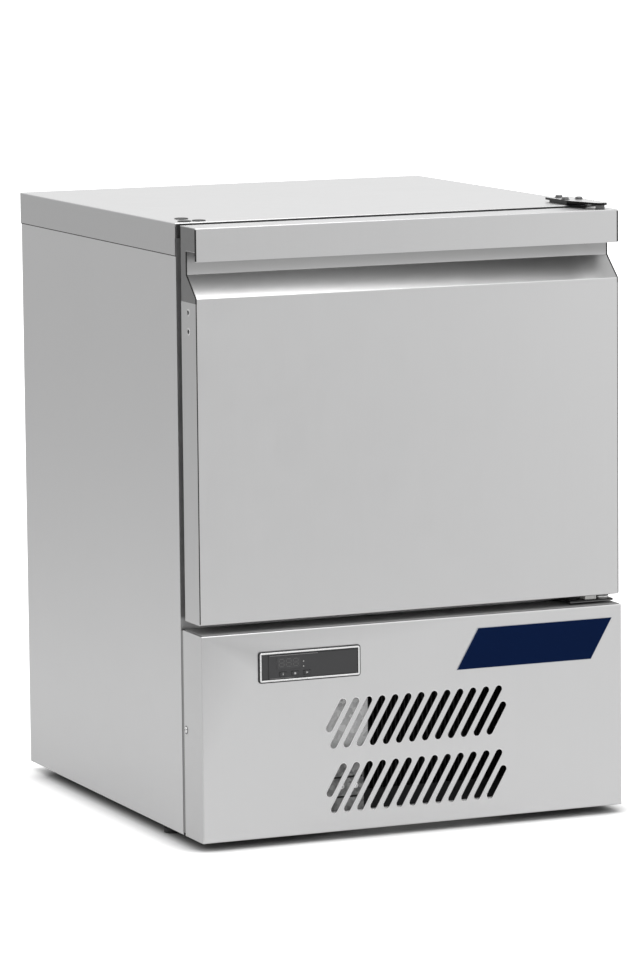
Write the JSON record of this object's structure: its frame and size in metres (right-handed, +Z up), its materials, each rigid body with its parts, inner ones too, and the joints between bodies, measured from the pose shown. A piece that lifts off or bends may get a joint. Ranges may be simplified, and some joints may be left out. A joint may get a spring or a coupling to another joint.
{
  "type": "undercounter blast chiller",
  "caption": "Stainless undercounter chilling cabinet with a full-width grip on its door and a slotted machine panel below.",
  "frame": {"origin": "middle of the bounding box, on the floor", "axes": "+X to the right of a person facing the door, +Y to the wall behind, +Z up"},
  "size_m": [0.607, 0.67, 0.8193],
  "materials": {
    "stainless": "directional brushed, bright satin",
    "stainless_inner": "fine matt",
    "galvanised": "galvanised sheet",
    "bright_wire": "polished",
    "hinge_steel": "dark satin",
    "grey_plastic": "satin moulded",
    "black_plastic": "satin moulded",
    "fascia_plastic": "satin moulded",
    "white_plastic": "satin moulded",
    "smoked_window": "gloss",
    "navy_label": "satin printed foil",
    "seal_rubber": "matt",
    "foam": "rigid foam",
    "black_coat": "satin black",
    "copper": "drawn copper",
    "aluminium_fins": "mill",
    "foot_rubber": "matt"
  },
  "bodies": {
    "cabinet": {"worktop": "stainless", "side_panel_left": "stainless", "side_panel_right": "stainless", "back_panel": "galvanised", "rear_spacers": "black_plastic", "front_frame": "stainless", "chamber_liner": "stainless_inner", "insulation_foam": "foam", "machine_deck": "galvanised", "base_tray": "galvanised", "service_panel": "stainless", "panel_screws": "bright_wire", "label_plate": "navy_label", "controller_bezel": "bright_wire", "controller_fascia": "fascia_plastic", "display_window": "smoked_window", "controller_module": "black_plastic", "top_hinge_plate": "hinge_steel", "top_hinge_bolts": "hinge_steel", "hinge_hole_plugs": "black_plastic", "bottom_hinge_bracket": "hinge_steel", "hinge_thrust_bush": "white_plastic", "rack_left": "stainless_inner", "rack_right": "stainless_inner", "shelf_grid_1": "bright_wire", "shelf_grid_2": "bright_wire", "shelf_grid_3": "bright_wire", "evaporator_cowl": "stainless_inner", "evaporator_fan_guard": "bright_wire", "evaporator_fan_motor": "black_coat", "evaporator_coil": "aluminium_fins", "evaporator_drip_tray": "stainless_inner", "air_probe": "black_plastic", "compressor": "black_coat", "compressor_mounts": "foot_rubber", "condenser_coil": "black_coat", "condenser_shroud": "black_coat", "condenser_fan_motor": "black_coat", "electrical_box": "galvanised", "condensate_tray": "black_plastic", "suction_line": "copper", "discharge_line": "copper", "liquid_line": "copper", "mains_gland": "black_plastic"},
    "door": {"door_skin": "stainless", "door_end_cap_left": "grey_plastic", "door_end_cap_right": "grey_plastic", "door_pivot_block": "white_plastic", "door_liner": "stainless_inner", "door_foam": "foam", "door_gasket": "seal_rubber"},
    "evaporator_fan": {"evaporator_fan_blades": "black_plastic"},
    "condenser_fan": {"condenser_fan_blades": "aluminium_fins"},
    "key_1": {"key_1": "black_plastic"},
    "key_2": {"key_2": "black_plastic"},
    "key_3": {"key_3": "black_plastic"},
    "foot_front_left": {"foot_front_left": "foot_rubber"},
    "foot_front_right": {"foot_front_right": "foot_rubber"},
    "foot_rear_left": {"foot_rear_left": "foot_rubber"},
    "foot_rear_right": {"foot_rear_right": "foot_rubber"}
  },
  "joints": [
    {"name": "door_hinge", "type": "hinge", "parent": "cabinet", "child": "door", "pos_m": [0.2815, -0.3115, 0.55], "axis": [0, 0, 1], "range_deg": [0, 110], "stiffness_Nm_per_rad": 0.25},
    {"name": "evaporator_fan_spin", "type": "hinge", "parent": "cabinet", "child": "evaporator_fan", "pos_m": [0, 0.1205, 0.546], "axis": [0, 1, 0], "continuous": true},
    {"name": "condenser_fan_spin", "type": "hinge", "parent": "cabinet", "child": "condenser_fan", "pos_m": [0.107, -0.179, 0.12925], "axis": [0, 1, 0], "continuous": true},
    {"name": "key_1_press", "type": "slide", "parent": "cabinet", "child": "key_1", "axis": [0, 1, 0], "range_m": [0, 0.001], "stiffness_N_per_m": 800},
    {"name": "key_2_press", "type": "slide", "parent": "cabinet", "child": "key_2", "axis": [0, 1, 0], "range_m": [0, 0.001], "stiffness_N_per_m": 800},
    {"name": "key_3_press", "type": "slide", "parent": "cabinet", "child": "key_3", "axis": [0, 1, 0], "range_m": [0, 0.001], "stiffness_N_per_m": 800},
    {"name": "foot_front_left_screw", "type": "slide", "parent": "cabinet", "child": "foot_front_left", "axis": [0, 0, -1], "range_m": [0, 0.01]},
    {"name": "foot_front_right_screw", "type": "slide", "parent": "cabinet", "child": "foot_front_right", "axis": [0, 0, -1], "range_m": [0, 0.01]},
    {"name": "foot_rear_left_screw", "type": "slide", "parent": "cabinet", "child": "foot_rear_left", "axis": [0, 0, -1], "range_m": [0, 0.01]},
    {"name": "foot_rear_right_screw", "type": "slide", "parent": "cabinet", "child": "foot_rear_right", "axis": [0, 0, -1], "range_m": [0, 0.01]}
  ]
}
